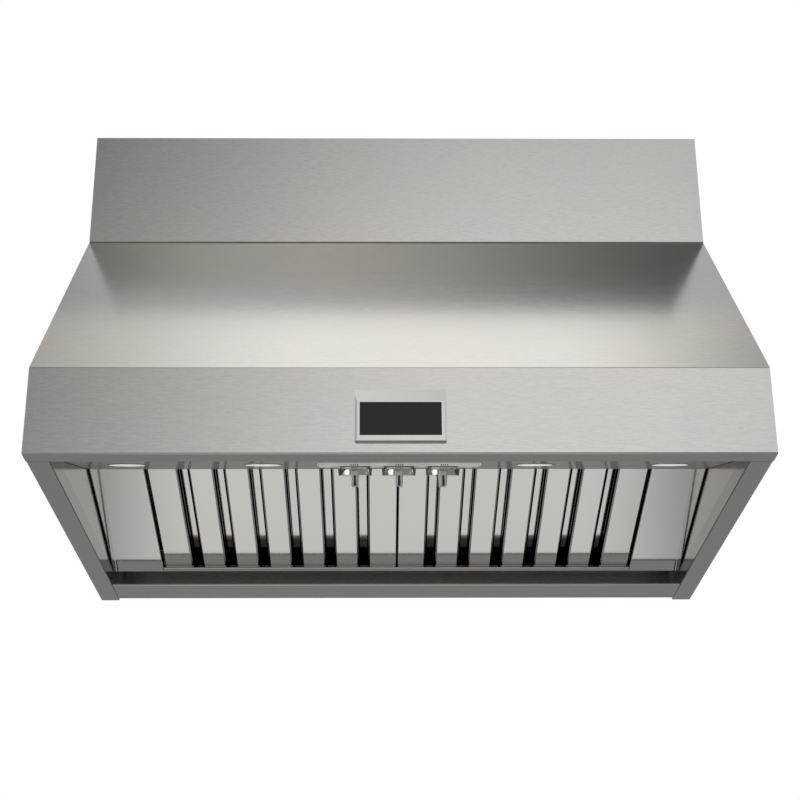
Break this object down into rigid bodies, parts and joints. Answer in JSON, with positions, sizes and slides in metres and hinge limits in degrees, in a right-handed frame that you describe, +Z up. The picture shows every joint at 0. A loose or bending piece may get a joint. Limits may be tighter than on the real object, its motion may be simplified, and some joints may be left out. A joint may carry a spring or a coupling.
{
  "type": "wall chimney range hood",
  "caption": "Wall range hood with sloped canopy, full-width chimney, baffle filters, blower, duct damper, lamps and rotary knobs.",
  "frame": {"origin": "centre of the four wall screw holes, on the wall's face", "axes": "+X to the right seen from the room, +Y into the wall, +Z up along the duct"},
  "size_m": [0.914, 0.6335, 0.674],
  "materials": {
    "brushed_stainless": "stainless sheet, fine horizontal brushing",
    "galvanised_steel": "galvanised sheet, dull",
    "filter_stainless": "stainless sheet, satin to bright",
    "badge_metal": "satin",
    "badge_blank": "satin, blank",
    "knob_metal": "polished disc, satin grip",
    "black_plastic": "matte",
    "shaft_steel": "turned, bright",
    "lamp_metal": "satin",
    "lamp_glass": "frosted",
    "damper_aluminium": "mill",
    "motor_paint": "satin black",
    "driver_white": "moulded",
    "capacitor_grey": "drawn can"
  },
  "bodies": {
    "cabinet": {"back_panel": "galvanised_steel", "badge_frame": "badge_metal", "badge_inset": "badge_blank", "blower_bracket": "galvanised_steel", "blower_motor": "motor_paint", "cabinet_screws": "shaft_steel", "chimney_front": "brushed_stainless", "control_plate": "brushed_stainless", "damper_pin": "shaft_steel", "duct_collar": "galvanised_steel", "filler_left": "brushed_stainless", "filler_right": "brushed_stainless", "filter_ledge": "brushed_stainless", "front_skin": "brushed_stainless", "grease_trough": "brushed_stainless", "knob_ring_centre": "black_plastic", "knob_ring_left": "black_plastic", "knob_ring_right": "black_plastic", "lamp_driver": "driver_white", "lamp_housing_1": "lamp_metal", "lamp_housing_2": "lamp_metal", "lamp_housing_3": "lamp_metal", "lamp_housing_4": "lamp_metal", "lamp_lens_1": "lamp_glass", "lamp_lens_2": "lamp_glass", "lamp_lens_3": "lamp_glass", "lamp_lens_4": "lamp_glass", "lamp_panel": "brushed_stainless", "liner_side_left": "brushed_stainless", "liner_side_right": "brushed_stainless", "outlet_box": "galvanised_steel", "rotary_switch_centre": "black_plastic", "rotary_switch_left": "black_plastic", "rotary_switch_right": "black_plastic", "run_capacitor": "capacitor_grey", "scroll_housing_left": "galvanised_steel", "scroll_housing_right": "galvanised_steel", "side_panel_left": "brushed_stainless", "side_panel_right": "brushed_stainless", "top_panel": "galvanised_steel", "wall_rail_lower": "galvanised_steel", "wall_rail_upper": "galvanised_steel", "wiring_box": "galvanised_steel"},
    "knob_left_body": {"knob_left": "knob_metal", "switch_shaft_left": "shaft_steel"},
    "knob_centre_body": {"knob_centre": "knob_metal", "switch_shaft_centre": "shaft_steel"},
    "knob_right_body": {"knob_right": "knob_metal", "switch_shaft_right": "shaft_steel"},
    "filter_left_body": {"filter_frame_left": "filter_stainless", "filter_lower_slats_left": "filter_stainless", "filter_upper_slats_left": "filter_stainless"},
    "filter_right_body": {"filter_frame_right": "filter_stainless", "filter_lower_slats_right": "filter_stainless", "filter_upper_slats_right": "filter_stainless"},
    "blower_rotor": {"motor_shaft": "shaft_steel", "blower_wheel_left": "galvanised_steel", "blower_wheel_right": "galvanised_steel"},
    "damper_left_body": {"damper_flap_left": "damper_aluminium"},
    "damper_right_body": {"damper_flap_right": "damper_aluminium"}
  },
  "joints": [
    {"name": "knob_left_turn", "type": "hinge", "parent": "cabinet", "child": "knob_left_body", "pos_m": [-0.0585, -0.41902, -0.29614], "axis": [0, -0.2997, 0.954], "range_deg": [0, 270]},
    {"name": "knob_centre_turn", "type": "hinge", "parent": "cabinet", "child": "knob_centre_body", "pos_m": [0, -0.41902, -0.29614], "axis": [0, -0.2997, 0.954], "range_deg": [0, 135]},
    {"name": "knob_right_turn", "type": "hinge", "parent": "cabinet", "child": "knob_right_body", "pos_m": [0.0585, -0.41902, -0.29614], "axis": [0, -0.2997, 0.954], "range_deg": [0, 135]},
    {"name": "filter_left_slide", "type": "slide", "parent": "cabinet", "child": "filter_left_body", "axis": [0, -0.9701, 0.2425], "range_m": [0, 0.014]},
    {"name": "filter_right_slide", "type": "slide", "parent": "cabinet", "child": "filter_right_body", "axis": [0, -0.9701, 0.2425], "range_m": [0, 0.014]},
    {"name": "blower_spin", "type": "hinge", "parent": "cabinet", "child": "blower_rotor", "pos_m": [0, -0.16, 0.08], "axis": [1, 0, 0], "continuous": true},
    {"name": "damper_left_swing", "type": "hinge", "parent": "cabinet", "child": "damper_left_body", "pos_m": [0, -0.15, 0.294], "axis": [0, 1, 0], "range_deg": [0, 80]},
    {"name": "damper_right_swing", "type": "hinge", "parent": "cabinet", "child": "damper_right_body", "pos_m": [0, -0.15, 0.294], "axis": [0, -1, 0], "range_deg": [0, 80]}
  ]
}
